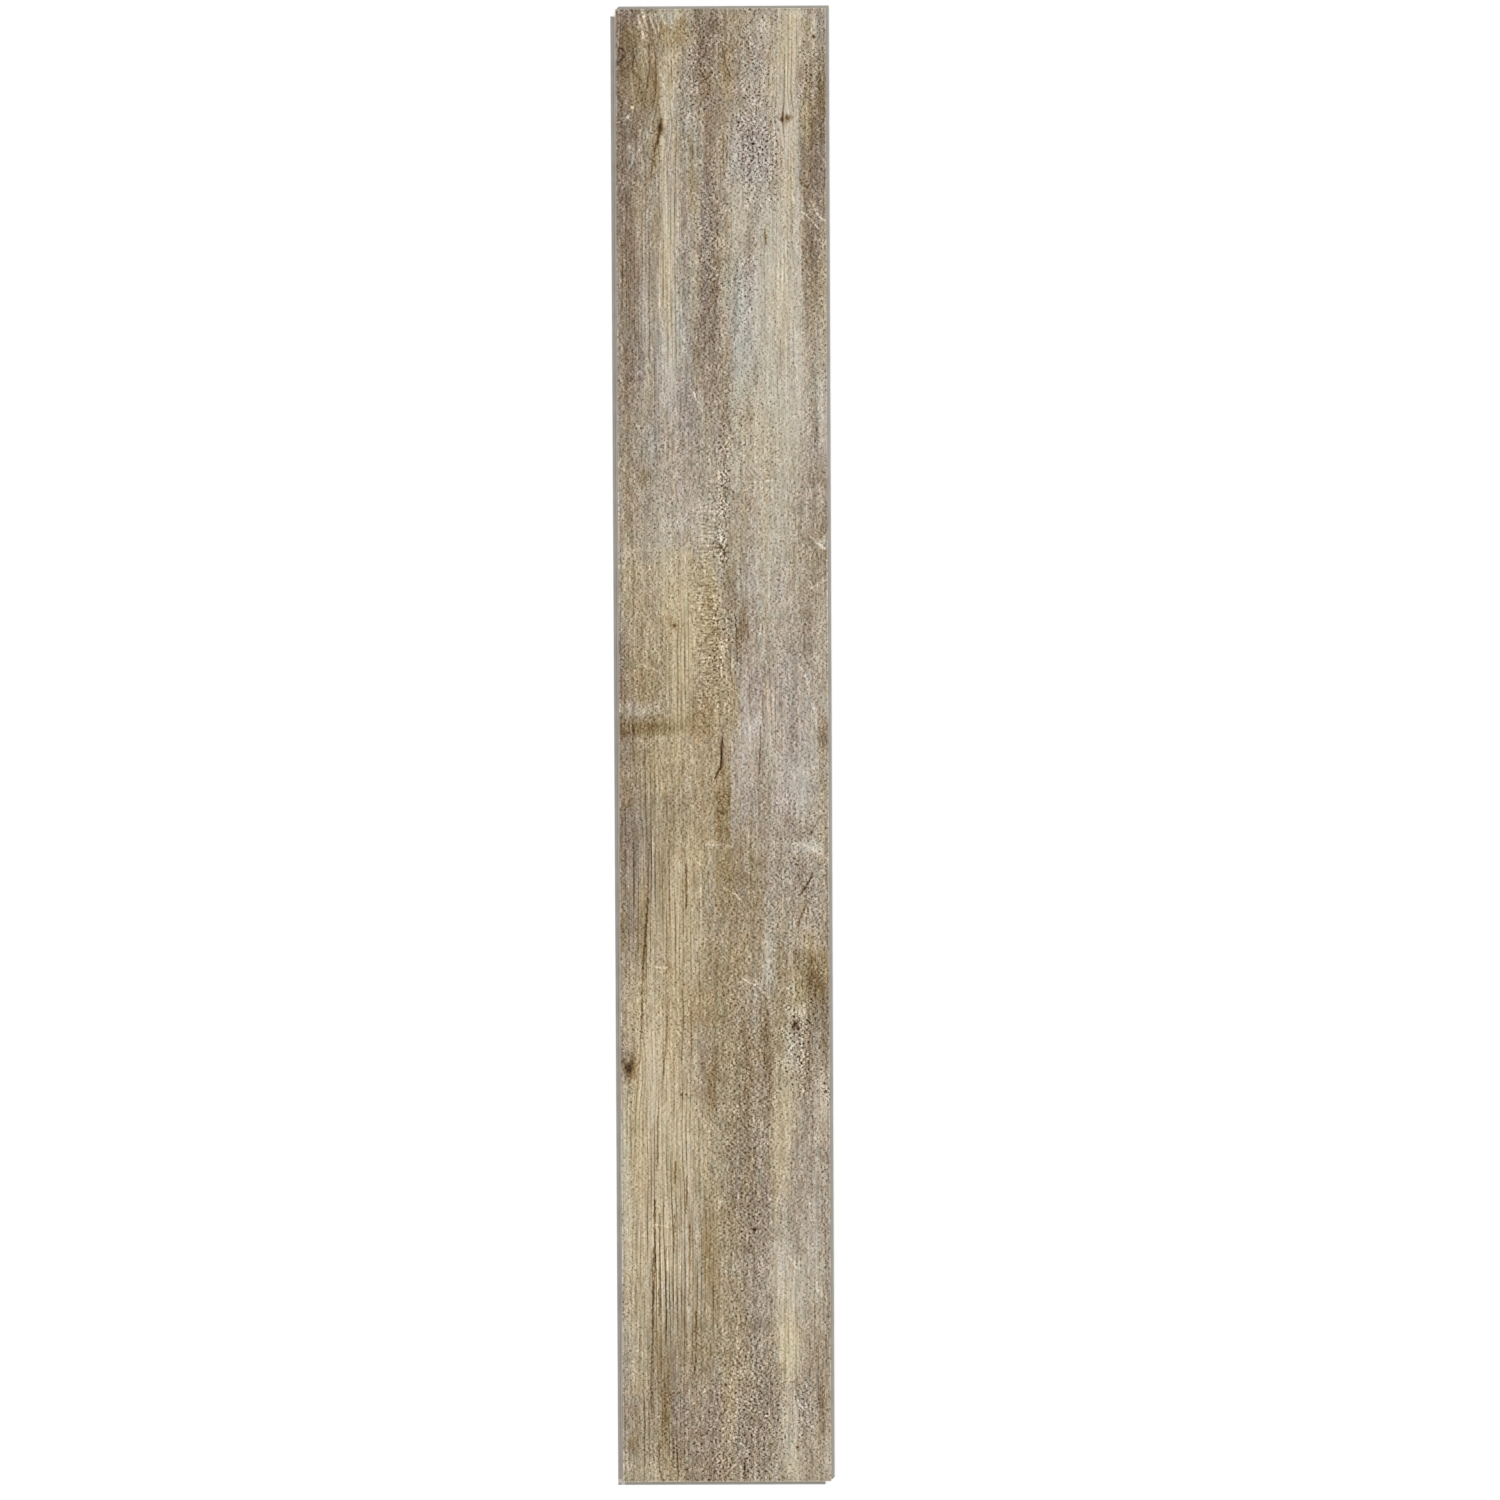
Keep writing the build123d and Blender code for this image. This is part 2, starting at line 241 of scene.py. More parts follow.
        (6, 560, 9, 26, 0.5), (77, 716, 5, 16, 0.3), (150, 735, 22, 28, 0.5), (70, 742, 7, 29, 0.2),
        (148, 1085, 7, 20, 0.3), (34, 1131, 11, 26, 0.2), (155, 1172, 8, 20, 0.5),
        (96, 1193, 6, 31, 0.3),
    ],
    "sage": [
        (60, 108, 9, 26, 0.6), (104, 262, 10, 50, 1.0), (56, 272, 8, 40, 0.9), (134, 300, 12, 50, 0.25),
        (30, 360, 7, 20, 0.7), (134, 636, 14, 20, 0.3),
    ],
}

# Stains with straight sharp ends, where the print's boards meet: as above
BLOCKS = {
    "pale": [
        (110, 622, 11, 30, 0.35),
    ],
    "cream": [
        (142.5, 1128, 8, 24, 0.35),
    ],
    "olive": [
        (26, 603, 26, 5, 0.5), (87.5, 677, 7.5, 23, 0.9), (86, 718, 16, 16, 0.35),
    ],
    "umber": [
        (118, 1176, 18, 20, 0.15),
    ],
    "lilac": [
        (119, 582, 18, 29, 0.5),
    ],
}

# Where the fine textures show: x, y, half width, half length, strength
SPECKLED = [
    (117, 120, 20, 38, 0.95), (114, 40, 16, 42, 0.45), (66, 60, 12, 46, 0.5), (80, 190, 10, 50, 0.75),
    (82, 265, 12, 50, 0.25), (80, 36, 12, 36, 0.35), (166, 205, 8, 50, 0.15), (108, 235, 9, 36, 0.5),
    (104, 350, 30, 40, 0.3), (89, 412, 5, 50, 1.1), (85, 452, 6, 7, 0.9), (86, 535, 12, 45, 0.7),
    (106, 950, 24, 170, 0.45), (112, 1180, 26, 70, 0.7), (150, 870, 14, 36, 1.0),
    (155, 1175, 10, 24, 0.7), (60, 1200, 40, 44, 0.5), (150, 740, 24, 90, 0.3), (164, 60, 9, 40, 0.4),
    (172, 905, 5, 20, 0.6),
]
LINED = [
    (44, 200, 11, 170, 0.7), (142, 60, 12, 70, 0.75), (136, 250, 14, 80, 0.45), (12, 220, 14, 80, 0.5),
    (30, 240, 9, 80, 0.4), (9, 50, 10, 50, 0.5), (14, 505, 16, 60, 0.3), (20, 690, 18, 90, 0.5),
    (166, 1130, 9, 100, 0.4), (28, 55, 8, 40, 0.6), (52, 560, 12, 80, 0.7), (40, 760, 30, 70, 0.7),
    (34, 925, 32, 60, 0.8), (40, 1045, 28, 70, 1.3), (30, 1120, 24, 40, 0.6), (143, 1100, 12, 80, 0.5),
    (30, 1200, 40, 44, 0.6), (128, 560, 10, 60, 0.4), (78, 1060, 8, 60, 0.5),
]
SCRIBED = [
    (74, 520, 13, 90, 1.0), (77, 425, 9, 34, 0.6), (88, 668, 7, 26, 0.7), (82, 940, 10, 30, 0.3),
]

# Knots that the grain parts round: x, y, half width, half length, how far it bends
KNOTS = [
    (38, 99, 9, 20, 0.8), (142, 92, 9, 15, 0.7), (6, 60, 22, 32, 0.9), (147, 853, 8, 13, 0.7),
    (4, 889, 14, 26, 0.8), (85, 451, 8, 13, 0.6), (47, 515, 6, 12, 0.6), (33, 185, 6, 16, 0.5),
]

# Sharp marks, drawn as runs of straight strokes: half width, strength, points
DARK_MARKS = [
    (0.8, 1.0, [(86.5, 610), (86.3, 622), (85.5, 634), (82, 641), (80, 645)]),
    (0.6, 0.45, [(25, 700), (24, 722), (23.5, 745)]),
    (0.9, 0.75, [(23.5, 745), (22.5, 762), (20.5, 785), (19, 805)]),
    (0.7, 0.65, [(19, 805), (18, 830), (17, 860), (16, 885)]),
    (0.7, 0.5, [(39, 845), (38, 870), (35.5, 895)]), (0.6, 0.5, [(52, 822), (53, 850), (51, 885)]),
    (0.6, 0.45, [(59, 840), (60, 880)]), (0.7, 0.6, [(30.5, 930), (30, 975)]),
    (0.9, 0.85, [(28, 1000), (27.7, 1020), (27.5, 1058), (26, 1090)]),
    (0.7, 0.6, [(26, 1090), (25.5, 1115), (24, 1150), (24.5, 1185)]),
    (0.8, 0.8, [(45.5, 968), (45, 986)]), (0.7, 0.8, [(55, 980), (54.5, 1012)]),
    (0.7, 0.7, [(57.5, 1020), (57, 1060), (56, 1090)]),
    (0.7, 0.65, [(32, 1012), (31.8, 1050), (31.5, 1098)]), (0.7, 0.65, [(45, 1012), (44, 1045)]),
    (0.6, 0.5, [(37.5, 1040), (37, 1110)]), (0.8, 0.5, [(62, 1095), (62, 1130), (60.5, 1152)]),
    (1.0, 0.8, [(162, 725), (158, 733), (152, 743)]), (0.9, 0.6, [(158, 748), (153, 760), (150, 769)]),
    (0.7, 0.5, [(169, 676), (164, 686), (160, 692)]), (0.7, 0.5, [(148, 802), (153, 810), (153, 820)]),
    (0.7, 0.75, [(56, 716), (56, 736), (55.6, 754)]), (0.6, 0.45, [(89, 28), (92, 46), (96.5, 58)]),
    (0.7, 0.5, [(90, 104), (90, 142)]), (0.6, 0.45, [(93, 106), (93, 132)]),
    (1.3, 0.65, [(38, 92), (37, 101), (34.5, 112)]), (0.8, 0.5, [(34.5, 112), (31, 126), (29, 142)]),
    (0.6, 0.5, [(36.5, 84), (38, 94)]), (1.0, 0.5, [(2, 32), (6, 33), (8, 36)]),
    (1.0, 0.4, [(2, 44), (6, 41), (8, 38)]), (0.6, 0.4, [(16, 30), (14.5, 46), (15.5, 62)]),
    (0.6, 0.4, [(28, 30), (28.5, 50), (26, 66), (22, 76)]),
    (0.6, 0.4, [(33, 44), (33.5, 60), (31, 78)]), (0.6, 0.55, [(98.5, 508), (99, 530), (100, 545)]),
    (0.6, 0.45, [(37, 508), (37, 530)]), (0.5, 0.4, [(110, 558), (110, 600)]),
    (0.5, 0.4, [(121, 556), (121, 600)]), (0.5, 0.35, [(132, 560), (131, 598)]),
    (0.7, 0.5, [(144, 519), (146, 530), (143, 540)]),
    (0.8, 0.6, [(31, 1205), (30.5, 1220), (32, 1237)]), (0.6, 0.5, [(46, 1212), (47, 1237)]),
    (0.6, 0.5, [(54, 1222), (54, 1238)]), (0.9, 0.7, [(102.7, 1221), (102.7, 1238)]),
    (0.7, 0.6, [(119, 600), (118, 640)]), (0.8, 0.55, [(124.5, 184), (125.5, 197)]),
    (0.6, 0.5, [(154, 142), (157, 148), (160, 150)]), (0.7, 0.4, [(171, 1000), (172.5, 1080)]),
]
PALE_MARKS = [
    (1.0, 0.75, [(18.8, 5), (21, 14), (23.8, 24)]), (0.9, 0.75, [(22.8, 3), (25, 10), (27.3, 18)]),
    (1.0, 0.75, [(28, 4), (31, 12), (33.5, 20)]), (0.8, 0.7, [(33.5, 5), (35, 12), (37, 19)]),
    (0.7, 0.55, [(38, 4), (39.5, 9), (43, 13)]),
    (0.8, 0.75, [(163, 161), (167, 169), (170, 174), (174, 177)]),
    (0.8, 0.65, [(156, 170), (163, 176), (169, 184)]), (0.6, 0.45, [(172, 160), (168, 167)]),
    (0.7, 0.65, [(103, 813), (110, 817), (117, 821), (121, 825)]), (0.6, 0.5, [(112, 813), (116, 818)]),
    (0.6, 0.65, [(88, 737), (97, 742), (105, 752)]), (0.9, 0.55, [(29, 803), (39, 804)]),
    (0.8, 0.38, [(72, 701), (84, 700), (95, 702)]),
    (1.0, 0.35, [(146, 700), (156, 701), (166, 706), (175, 713)]),
    (0.7, 0.35, [(98, 541), (112, 543), (124, 547)]), (0.6, 0.45, [(153, 552), (157, 557)]),
    (0.6, 0.4, [(18, 548), (27, 552), (37, 556)]), (1.1, 0.45, [(60, 617), (62, 631)]),
    (0.5, 0.4, [(97, 394), (115, 396), (130, 394)]), (0.8, 0.6, [(64, 320), (68, 329), (71, 336)]),
    (0.6, 0.45, [(4, 384), (8, 387), (12, 383)]), (0.7, 0.5, [(159, 485), (167, 483), (174, 478)]),
    (0.8, 0.6, [(162, 442), (167, 447), (174, 452)]), (0.8, 0.5, [(11, 114), (15, 123), (10, 136)]),
    (0.7, 0.45, [(21, 114), (16, 128)]), (0.5, 0.45, [(27, 1021), (39, 1023)]),
    (0.7, 0.5, [(141, 1048), (146, 1056), (151, 1060)]),
    (0.7, 0.55, [(148, 1170), (152, 1176), (156, 1181)]), (0.6, 0.45, [(158, 1162), (159, 1180)]),
    (0.6, 0.45, [(100, 1216), (107, 1212)]), (0.5, 0.4, [(48, 12), (48, 50), (47.5, 90)]),
]
# Small round spots, dark and pale: x, y, radius, strength
DARK_SPOTS = [
    (36, 548, 1.1, 0.5), (38, 557, 1.1, 0.5), (34, 564, 1.0, 0.4), (38, 575, 1.1, 0.4),
    (167, 1045, 1.3, 0.4), (87, 1157, 1.3, 1.0), (147.5, 1210, 1.4, 1.1), (166, 24, 1.5, 1.2),
    (47, 516, 1.5, 1.0), (19.5, 797, 1.6, 0.5), (164, 56, 1.2, 0.7), (133, 605, 1.2, 0.8),
    (123, 122, 1.2, 0.8), (51, 911, 1.1, 0.8), (55, 911, 1.1, 0.8), (155, 146, 1.2, 0.7),
    (161, 148, 1.0, 0.5), (24, 467, 1.2, 0.6), (112, 1025.5, 1.5, 2.0), (158, 548, 1.1, 0.5),
    (86, 450, 2.0, 0.8), (89.5, 456, 1.5, 0.9), (83, 455, 1.2, 0.7), (88, 462, 1.2, 0.8),
    (91.5, 449, 1.2, 0.6), (147, 852, 1.8, 0.8), (144.5, 856, 1.3, 0.6), (149.5, 856, 1.3, 0.7),
    (151, 862, 1.2, 0.7), (146, 846, 1.1, 0.5), (37.5, 100, 2.6, 0.6), (139, 93, 1.6, 0.7),
    (144, 91, 2.0, 0.7), (6, 889, 3.0, 0.55), (171, 1085, 1.2, 0.4), (172, 909, 1.3, 1.3),
    (171.5, 902, 1.1, 1.1), (103, 95, 1.2, 1.1), (12, 44, 1.2, 0.4),
]
PALE_SPOTS = [
    (156.5, 558.5, 1.5, 0.8), (171, 451, 2.0, 0.6), (13, 1128, 1.5, 0.5), (145, 1054, 1.2, 0.5),
    (164, 586, 1.2, 0.5), (13.8, 82, 1.4, 1.0), (9.8, 90, 1.5, 1.0), (4, 79.5, 1.0, 0.6),
    (9, 78.5, 0.9, 0.5), (74, 88, 1.2, 0.6), (71, 90, 0.9, 0.5), (23.6, 24.4, 1.1, 0.6),
    (27, 22, 1.0, 0.5), (32, 24, 1.0, 0.5), (112, 30, 1.0, 0.5),
]

# How many steps of lightness a screen has, and how far the green sways, on cells of this size
LEVELS = 255
GREEN_SWAY = 0.35
GREEN_CELL = (14, 45)

# Streaks along the grain: cell width, cell length, lightness in 255ths, warmth
STREAKS = [(9, 150, 4, 0.08), (4, 110, 7, 0.05), (2, 60, 9, 0.02)]

# How patches end: how far they sway sideways and fray along the grain, as shares of their half
# sizes and at most in millimetres, and how sharp their edges are. Blocks end nearly straight.
# The last two are the cells of the sway and of the fray.
SWAY_SHARE = 0.3
MOST_SWAY = 2.0
MOST_FRAY = 16
PATCH_FRAY = 0.45
PATCH_EDGE = 3
BLOCK_FRAY = 0.08
BLOCK_EDGE = 12
DRIFT_CELL = (30, 40)
FRAY_CELL = (1.7, 90)

# The relief's furrows and pits, how deep furrows in plain wood and pits are beside furrows in
# lined wood, how much wider than its stroke a crack is, and how far in the relief is whole
FURROW_CELL = (2.1, 45)
PIT_CELL = (3.2, 7)
PLAIN_SHARE = 0.5
PIT_SHARE = 0.6
CRACK_SPREAD = 0.5
RELIEF_MARGIN = 2.0


def lattice_noise(x, y, cell_x, cell_y, seed):
    """Smooth noise from -1 to 1 on cells of this size, the same each run."""
    u, v = x / cell_x, y / cell_y
    i, j = np.floor(u).astype(int), np.floor(v).astype(int)
    fu, fv = u - i, v - j
    fu, fv = fu * fu * (3 - 2 * fu), fv * fv * (3 - 2 * fv)
    i, j = i - i.min(), j - j.min()
    grid = np.random.default_rng(seed).uniform(-1, 1, (i.max() + 2, j.max() + 2))
    low = grid[i, j] * (1 - fu) + grid[i + 1, j] * fu
    high = grid[i, j + 1] * (1 - fu) + grid[i + 1, j + 1] * fu
    return low * (1 - fv) + high * fv


class Canvas:
    """Points on the face, with the noise that frays every patch painted on them."""

    def __init__(self, x, y):
        self.x, self.y = x, y
        self.drift = lattice_noise(x, y, *DRIFT_CELL, SEED + 1)
        self.streaks = lattice_noise(x, y, *FRAY_CELL, SEED + 2)

    def patch(self, cx, cy, half_width, half_length, fray, edge):
        """A flat-topped patch whose ends fray along the grain. A higher edge is sharper."""
        reach = min(fray * half_length, MOST_FRAY)
        sway = min(SWAY_SHARE * half_width, MOST_SWAY)
        across = self.x - cx + sway * self.drift
        along = self.y - cy + reach * self.streaks
        return np.exp(-np.abs(across / half_width) ** edge - np.abs(along / half_length) ** edge)

    def painted(self, patches, fray=PATCH_FRAY, edge=PATCH_EDGE):
        """How strongly patches of one stain or texture cover each point."""
        cover = np.zeros_like(self.x)
        for cx, cy, half_width, half_length, strength in patches:
            cover += strength * self.patch(cx, cy, half_width, half_length, fray, edge)
        return cover


def stains(canvas):
    """Lightness, yellow and green at each point: listed stains over streaks along the grain."""
    x, y = canvas.x, canvas.y
    light = np.zeros_like(x)
    warm = np.zeros_like(x)
    green = GREEN_SWAY * lattice_noise(x, y, *GREEN_CELL, SEED + 5)
    for stained, fray, edge in ((PATCHES, PATCH_FRAY, PATCH_EDGE), (BLOCKS, BLOCK_FRAY, BLOCK_EDGE)):
        for kind, patches in stained.items():
            cover = canvas.painted(patches, fray, edge)
            light += cover * STAINS[kind][0] / LEVELS
            warm += cover * STAINS[kind][1]
            green += cover * STAINS[kind][2]
    for n, (cell_x, cell_y, lift, tint) in enumerate(STREAKS):
        light += lattice_noise(x, y, cell_x, cell_y, SEED + 10 + n) * lift / LEVELS
        warm += lattice_noise(x, y, cell_x, cell_y, SEED + 20 + n) * tint
    return light, warm, green


def distance_to_stroke(x, y, points):
    """How far each point is from a run of straight strokes."""
    nearest = np.full_like(x, np.inf)
    for (ax, ay), (bx, by) in zip(points, points[1:]):
        dx, dy = bx - ax, by - ay
        t = np.clip(((x - ax) * dx + (y - ay) * dy) / (dx * dx + dy * dy), 0, 1)
        nearest = np.minimum(nearest, np.hypot(x - ax - t * dx, y - ay - t * dy))
    return nearest


def relief(x, y, lined):
    """How deep the embossing is at each point, in millimetres: furrows, and cracks where marks are."""
    furrows = 0.5 + 0.5 * lattice_noise(x, y, *FURROW_CELL, SEED + 31)
    pits = np.clip(lattice_noise(x, y, *PIT_CELL, SEED + 32), 0, 1)
    furrows *= PLAIN_SHARE + (1 - PLAIN_SHARE) * np.clip(lined, 0, 1)
    depth = FURROW_DEPTH * (furrows + PIT_SHARE * pits)
    for half_width, strength, points in DARK_MARKS:
        near = np.exp(-((distance_to_stroke(x, y, points) / (half_width + CRACK_SPREAD)) ** 2))
        depth = np.maximum(depth, CRACK_DEPTH * strength * near)
    return depth


def face_grid():
    """The top's points, x and y, and their numbers row by row."""
    columns = int(FACE_W / COLUMN_STEP) + 1
    rows = int(FACE_L / ROW_STEP) + 1
    across = np.linspace(EDGE_BEVEL, FACE_W - EDGE_BEVEL, columns)
    along = np.linspace(EDGE_BEVEL, FACE_L - EDGE_BEVEL, rows)
    x, y = (axis.ravel() for axis in np.meshgrid(across, along))
    return x, y, np.arange(columns * rows).reshape(rows, columns)


def ring_below(x, y, height):
    """The top's border moved out to the face's own edge, at this height."""
    ring = np.column_stack([x, y, np.full(len(x), height)])
    # Just over the bevel, so that rounding leaves no border point behind
    on_border = EDGE_BEVEL * 1.01
    for axis, span in ((0, FACE_W), (1, FACE_L)):
        ring[ring[:, axis] <= on_border, axis] = 0
        ring[ring[:, axis] >= span - on_border, axis] = span
    return ring


def face_mesh():
    """The printed layer as one closed mesh, with embossed relief and a bevel round its top."""
    x, y, index = face_grid()
    canvas = Canvas(x, y)
    lined, speckled, scribed = (canvas.painted(zone) for zone in (LINED, SPECKLED, SCRIBED))
    inset = np.minimum.reduce([x, FACE_W - x, y, FACE_L - y]) - EDGE_BEVEL
    depth = relief(x, y, lined) * np.clip(inset / RELIEF_MARGIN, 0, 1)
    quads = np.stack([index[1:, :-1], index[1:, 1:], index[:-1, 1:], index[:-1, :-1]], -1)
    faces = quads.reshape(-1, 4).tolist()
    top_faces = len(faces)
    # The border of the grid, clockwise as the camera sees it
    border = np.concatenate([index[0, :-1], index[:-1, -1], index[-1, :0:-1], index[:0:-1, 0]])
    bevel_foot = ring_below(x[border], y[border], FACE_TOP - EDGE_BEVEL)
    underside = ring_below(x[border], y[border], FACE_BOTTOM)
    places = np.concatenate([np.stack([x, y, FACE_TOP - depth], -1), bevel_foot, underside])
    numbers = np.arange(len(border)) + len(x)
    rings = [border, numbers, numbers + len(border)]
    for upper, lower in zip(rings, rings[1:]):
        walls = np.stack([upper, np.roll(upper, -1), np.roll(lower, -1), lower], -1)
        faces += walls.tolist()
    faces.append(rings[-1].tolist())
    vertices = np.column_stack(
        [
            places[:, 0] * MM + face_low.x,
            face_high.y - places[:, 1] * MM,
            places[:, 2] * MM,
        ]
    )
    mesh = bpy.data.meshes.new("decor_surface")
    mesh.from_pydata(vertices.tolist(), [], faces)
    mesh.polygons.foreach_set("use_smooth", [n < top_faces for n in range(len(faces))])
    for name, channels in (("stain", stains(canvas)), ("texture", (lined, speckled, scribed))):
        values = np.column_stack(channels)
        values = np.concatenate([values, values[border], values[border]])
        attribute = mesh.attributes.new(name, "FLOAT_VECTOR", "POINT")
        attribute.data.foreach_set("vector", values.ravel())
    mesh.update()
    return mesh


# Crisp noise has a rim of the opposite tone on both sides of each grain: how far off it stands,
# in millimetres, and its share of the grain's strength
RIM_REACH = 2.3
RIM_SHARE = 0.14

# Each noise has a shift of its own, so that no two are alike. It goes this far down the length,
# as a share of how far it goes across.
SHIFT_DOWN = 0.7


class Graph:
    """Adds nodes to a tree. Each call gives the socket that the next one reads."""

    def __init__(self, tree):
        self.tree = tree
        self.tree.nodes.clear()

    def node(self, kind, values=(), **settings):
        """A new node with these settings, and its inputs linked or set."""
        made = self.tree.nodes.new(kind)
        for setting, value in settings.items():
            setattr(made, setting, value)
        for socket, value in dict(values).items():
            if isinstance(value, bpy.types.NodeSocket):
                self.tree.links.new(value, made.inputs[socket])
            else:
                made.inputs[socket].default_value = value
        return made

    def math(self, operation, *values, clamp=False):
        made = self.node("ShaderNodeMath", enumerate(values), operation=operation, use_clamp=clamp)
        return made.outputs[0]

    def chain(self, operation, first, *others):
        """Several values joined by one operation, two at a time."""
        for value in others:
            first = self.math(operation, first, value)
        return first

    def total(self, *values):
        return self.chain("ADD", *values)

    def product(self, *values):
        return self.chain("MULTIPLY", *values)

    def vector(self, operation, *values):
        made = self.node("ShaderNodeVectorMath", enumerate(values), operation=operation)
        return made.outputs["Value" if operation in ("LENGTH", "DOT_PRODUCT") else "Vector"]

    def split(self, vector):
        return self.node("ShaderNodeSeparateXYZ", {"Vector": vector}).outputs

    def attribute(self, name):
        """The three numbers that the mesh keeps under this name."""
        return self.split(self.node("ShaderNodeAttribute", attribute_name=name).outputs["Vector"])

    def noise(self, place, cell_x, cell_y, detail=2.0, roughness=0.5, shift=0.0, curl=0.0):
        """Noise about zero, stretched so that its features are about this many millimetres."""
        stretched = self.vector("MULTIPLY", place, (1 / cell_x, 1 / cell_y, 1.0))
        moved = self.vector("ADD", stretched, (shift, shift * SHIFT_DOWN, 0.0))
        values = {"Vector": moved, "Scale": 1.0, "Detail": detail, "Roughness": roughness}
        values["Distortion"] = curl
        made = self.node("ShaderNodeTexNoise", values, noise_dimensions="2D")
        return self.math("SUBTRACT", made.outputs["Fac"], 0.5)

    def smooth(self, value, low, high, start=0.0, end=1.0):
        """Goes smoothly from start to end as value goes from low to high."""
        values = {"Value": value, "From Min": low, "From Max": high, "To Min": start, "To Max": end}
        made = self.node("ShaderNodeMapRange", values, interpolation_type="SMOOTHSTEP")
        return made.outputs["Result"]

    def crisp(self, place, cell_x, cell_y, **settings):
        """Noise whose dark grains stand between pale rims, and its pale grains between dark ones."""
        grain = self.noise(place, cell_x, cell_y, **settings)
        rims = [
            self.noise(self.vector("ADD", place, (side * RIM_REACH, 0, 0)), cell_x, cell_y, **settings)
            for side in (-1, 1)
        ]
        return self.math("SUBTRACT", grain, self.product(self.total(*rims), RIM_SHARE))

    def finish(self, colour, roughness, bump_height, bump_depth, specular):
        """Ends in a plain shader with this colour, roughness and fine relief."""
        raised = {"Height": bump_height, "Distance": bump_depth, "Strength": 1.0}
        bump = self.node("ShaderNodeBump", raised)
        values = {
            "Base Color": colour,
            "Roughness": roughness,
            "Specular IOR Level": specular,
            "Normal": bump.outputs["Normal"],
        }
        shader = self.node("ShaderNodeBsdfPrincipled", values)
        self.node("ShaderNodeOutputMaterial", {"Surface": shader.outputs["BSDF"]})


def new_material(name):
    """A new node material, and the empty graph that fills it."""
    material = bpy.data.materials.new(name)
    material.use_nodes = True
    return material, Graph(material.node_tree)


# How much a screen's red and blue count in lightness, and its curve
RED_WEIGHT = 0.299
BLUE_WEIGHT = 0.114
SCREEN_CURVE = 2.2


def screen_mix(g, tone, red_over, blue_under):
    """The shader's colour for a screen's tone, red this far over green and blue this far under."""
    green = g.total(tone, g.product(red_over, -RED_WEIGHT), g.product(blue_under, BLUE_WEIGHT))
    levels = {
        "Red": g.math("ADD", green, red_over, clamp=True),
        "Green": g.math("ADD", green, 0.0, clamp=True),
        "Blue": g.math("SUBTRACT", green, blue_under, clamp=True),
    }
    screen = g.node("ShaderNodeCombineColor", levels).outputs["Color"]
    return g.node("ShaderNodeGamma", {"Color": screen, "Gamma": SCREEN_CURVE}).outputs["Color"]


# Strokes and spots fade out between these two multiples of their half width or radius.
STROKE_OUTER = 1.6
STROKE_INNER = 0.3

# How many strokes or spots one node group draws
SHEET_SIZE = 8

# How strokes waver: cells, and how far in millimetres
WAVER_CELL = (4, 5)
WAVER = 3.0


def stroke_distance(g, place, start, end):
    """The distance from place to the straight stroke from start to end."""
    length = math.hypot(end[0] - start[0], end[1] - start[1])
    heading = ((end[0] - start[0]) / length, (end[1] - start[1]) / length, 0)
    offset = g.vector("SUBTRACT", place, (*start, 0))
    along = g.math("MINIMUM", g.math("MAXIMUM", g.vector("DOT_PRODUCT", offset, heading), 0.0), length)
    foot = g.node("ShaderNodeVectorMath", {0: heading, "Scale": along}, operation="SCALE")
    return g.vector("LENGTH", g.vector("SUBTRACT", offset, foot.outputs["Vector"]))


def strokes(g, place, drawn):
    """How strongly a few strokes show at place."""
    shown = 0.0
    for half_width, strength, points in drawn:
        for start, end in zip(points, points[1:]):
            away = stroke_distance(g, place, start, end)
            near = g.smooth(away, half_width * STROKE_OUTER, half_width * STROKE_INNER, 0.0, strength)
            shown = g.math("MAXIMUM", shown, near)
    return shown


def spots(g, place, drawn):
    """How strongly a few small round spots show at place."""
    shown = 0.0
    for x, y, radius, strength in drawn:
        away = g.vector("LENGTH", g.vector("SUBTRACT", place, (x, y, 0)))
        near = g.smooth(away, radius * STROKE_OUTER, radius * STROKE_INNER, 0.0, strength)
        shown = g.math("MAXIMUM", shown, near)
    return shown


def on_sheets(g, place, name, things, draw):
    """How strongly any of many strokes or spots shows. Each node group holds a few of them."""
    shown = 0.0
    for n in range(0, len(things), SHEET_SIZE):
        tree = bpy.data.node_groups.new(f"{name}_{n}", "ShaderNodeTree")
        tree.interface.new_socket("Place", in_out="INPUT", socket_type="NodeSocketVector")
        tree.interface.new_socket("Shown", in_out="OUTPUT", socket_type="NodeSocketFloat")
        sheet = Graph(tree)
        given = sheet.node("NodeGroupInput").outputs["Place"]
        sheet.node("NodeGroupOutput", {"Shown": draw(sheet, given, things[n : n + SHEET_SIZE])})
        drawn = g.node("ShaderNodeGroup", {"Place": place}, node_tree=tree).outputs["Shown"]
        shown = g.math("MAXIMUM", shown, drawn)
    return shown


def drawn_marks(g, place):
    """How strongly the dark strokes and spots show at place, and the pale ones."""
    waver = {
        axis: g.product(g.noise(place, *WAVER_CELL, roughness=0.7, shift=shift), WAVER)
        for axis, shift in (("X", 4), ("Y", 9))
    }
    wavered = g.vector("ADD", place, g.node("ShaderNodeCombineXYZ", waver).outputs[0])
    cracks = on_sheets(g, wavered, "dark_marks", DARK_MARKS, strokes)
    scratches = on_sheets(g, wavered, "pale_marks", PALE_MARKS, strokes)
    dots = on_sheets(g, place, "dark_spots", DARK_SPOTS, spots)
    glares = on_sheets(g, place, "pale_spots", PALE_SPOTS, spots)
    return g.math("MAXIMUM", cracks, dots), g.math("MAXIMUM", scratches, glares)


